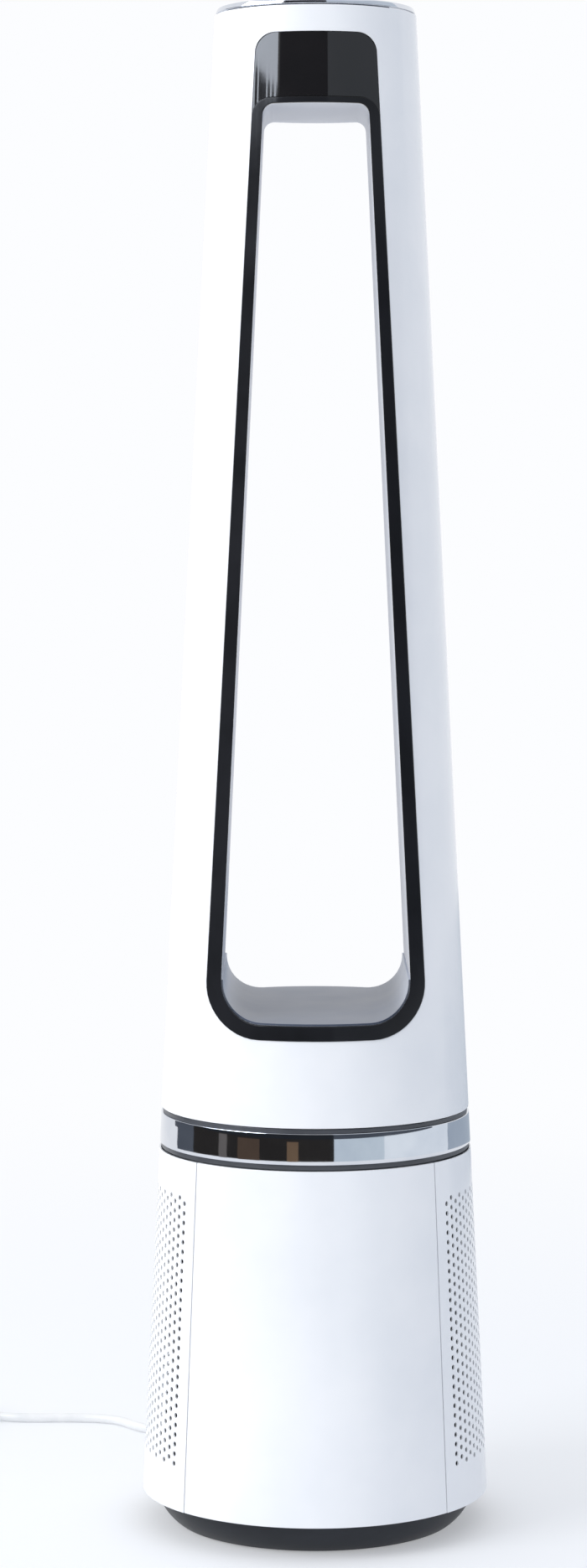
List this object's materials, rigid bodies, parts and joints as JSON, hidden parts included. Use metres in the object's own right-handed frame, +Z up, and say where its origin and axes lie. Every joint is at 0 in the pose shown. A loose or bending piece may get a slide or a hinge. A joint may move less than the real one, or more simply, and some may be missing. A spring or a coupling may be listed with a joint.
{
  "type": "tower fan",
  "caption": "Bladeless tower fan: a slim tapered tower with a tall through-opening turns on a round base that holds the blower and two filters behind perforated covers.",
  "frame": {"origin": "middle of the fan's underside on the floor, on the tower's turning axis", "axes": "+Z up along the tower; the display and the black trim face -Y; +X to the right seen from the front"},
  "size_m": [0.4715, 0.4283, 1.05],
  "materials": {
    "white_abs": "injection moulded ABS, semi-gloss",
    "plinth_abs": "satin moulded ABS",
    "black_gloss": "polished black acrylic and ABS",
    "chrome_plate": "bright chrome plate",
    "dark_ring": "satin ABS",
    "grey_satin": "satin grey ABS",
    "grey_abs": "moulded ABS",
    "impeller_nylon": "glass-filled nylon",
    "acetal": "moulded acetal",
    "steel": "zinc plated steel",
    "motor_alloy": "die cast",
    "ballast_iron": "painted iron plate",
    "magnet_ferrite": "sintered ferrite",
    "winding_copper": "enamelled copper wire",
    "rubber": "moulded rubber",
    "filter_frame": "moulded polypropylene",
    "filter_paper": "pleated glass-fibre paper",
    "circuit_board": "epoxy board with parts",
    "cord_pvc": "soft white PVC",
    "tie_rubber": "rubber strap"
  },
  "bodies": {
    "base": {"ballast_plate": "ballast_iron", "band_lower_ring": "dark_ring", "band_upper_ring": "dark_ring", "base_chassis": "grey_abs", "base_plinth": "plinth_abs", "cord_coil": "cord_pvc", "cord_tail": "cord_pvc", "cord_tie": "tie_rubber", "cover_magnets": "magnet_ferrite", "deck_screws": "steel", "diffuser": "grey_abs", "duct_seal": "rubber", "filter_cage": "grey_abs", "front_panel": "white_abs", "impeller_housing": "grey_abs", "inlet_guard": "steel", "mains_board": "circuit_board", "mains_cord": "cord_pvc", "mains_plug": "cord_pvc", "motor_bearings": "steel", "motor_can": "motor_alloy", "motor_isolators": "rubber", "oscillation_motor": "steel", "plinth_screws": "steel", "rear_spine": "white_abs", "rubber_feet": "rubber", "slide_bearing": "acetal", "stator_windings": "winding_copper", "strain_relief": "cord_pvc", "trim_band": "chrome_plate", "upper_deck": "grey_abs"},
    "left_cover": {"left_cover": "white_abs", "left_catch_plates": "steel"},
    "right_cover": {"right_cover": "white_abs", "right_catch_plates": "steel"},
    "left_filter": {"left_filter_frame": "filter_frame", "left_filter_media": "filter_paper"},
    "right_filter": {"right_filter_frame": "filter_frame", "right_filter_media": "filter_paper"},
    "impeller": {"impeller": "impeller_nylon", "rotor_shaft": "steel"},
    "pinion": {"drive_pinion": "acetal"},
    "tower": {"turntable": "grey_abs", "drive_gear": "acetal", "gear_screws": "steel", "retaining_ring": "grey_abs", "tower_front_shell": "white_abs", "tower_rear_shell": "white_abs", "opening_liner": "white_abs", "opening_sill": "grey_satin", "opening_trim": "black_gloss", "display_window": "black_gloss", "display_board": "circuit_board", "top_ring": "chrome_plate", "touch_cap": "black_gloss", "touch_board": "circuit_board", "flow_divider": "grey_abs", "wiring_harness": "cord_pvc"}
  },
  "joints": [
    {"name": "tower_oscillation", "type": "hinge", "parent": "base", "child": "tower", "pos_m": [0, 0, 0.273], "axis": [0, 0, 1], "range_deg": [-40, 40]},
    {"name": "pinion_spin", "type": "hinge", "parent": "base", "child": "pinion", "pos_m": [0, 0.0735, 0.268], "axis": [0, 0, 1], "range_deg": [-322, 322]},
    {"name": "impeller_spin", "type": "hinge", "parent": "base", "child": "impeller", "pos_m": [0, 0, 0.14], "axis": [0, 0, 1], "continuous": true},
    {"name": "left_cover_release", "type": "slide", "parent": "base", "child": "left_cover", "axis": [-1, 0, 0], "range_m": [0, 0.15]},
    {"name": "right_cover_release", "type": "slide", "parent": "base", "child": "right_cover", "axis": [1, 0, 0], "range_m": [0, 0.15]},
    {"name": "left_filter_removal", "type": "slide", "parent": "base", "child": "left_filter", "axis": [-1, 0, 0], "range_m": [0, 0.068]},
    {"name": "right_filter_removal", "type": "slide", "parent": "base", "child": "right_filter", "axis": [1, 0, 0], "range_m": [0, 0.068]}
  ],
  "couplings": [
    {"joint": "pinion_spin", "follows": "tower_oscillation", "ratio": 8},
    {"joint": "left_filter_removal", "follows": "left_cover_release", "ratio": 0.45},
    {"joint": "right_filter_removal", "follows": "right_cover_release", "ratio": 0.45}
  ]
}
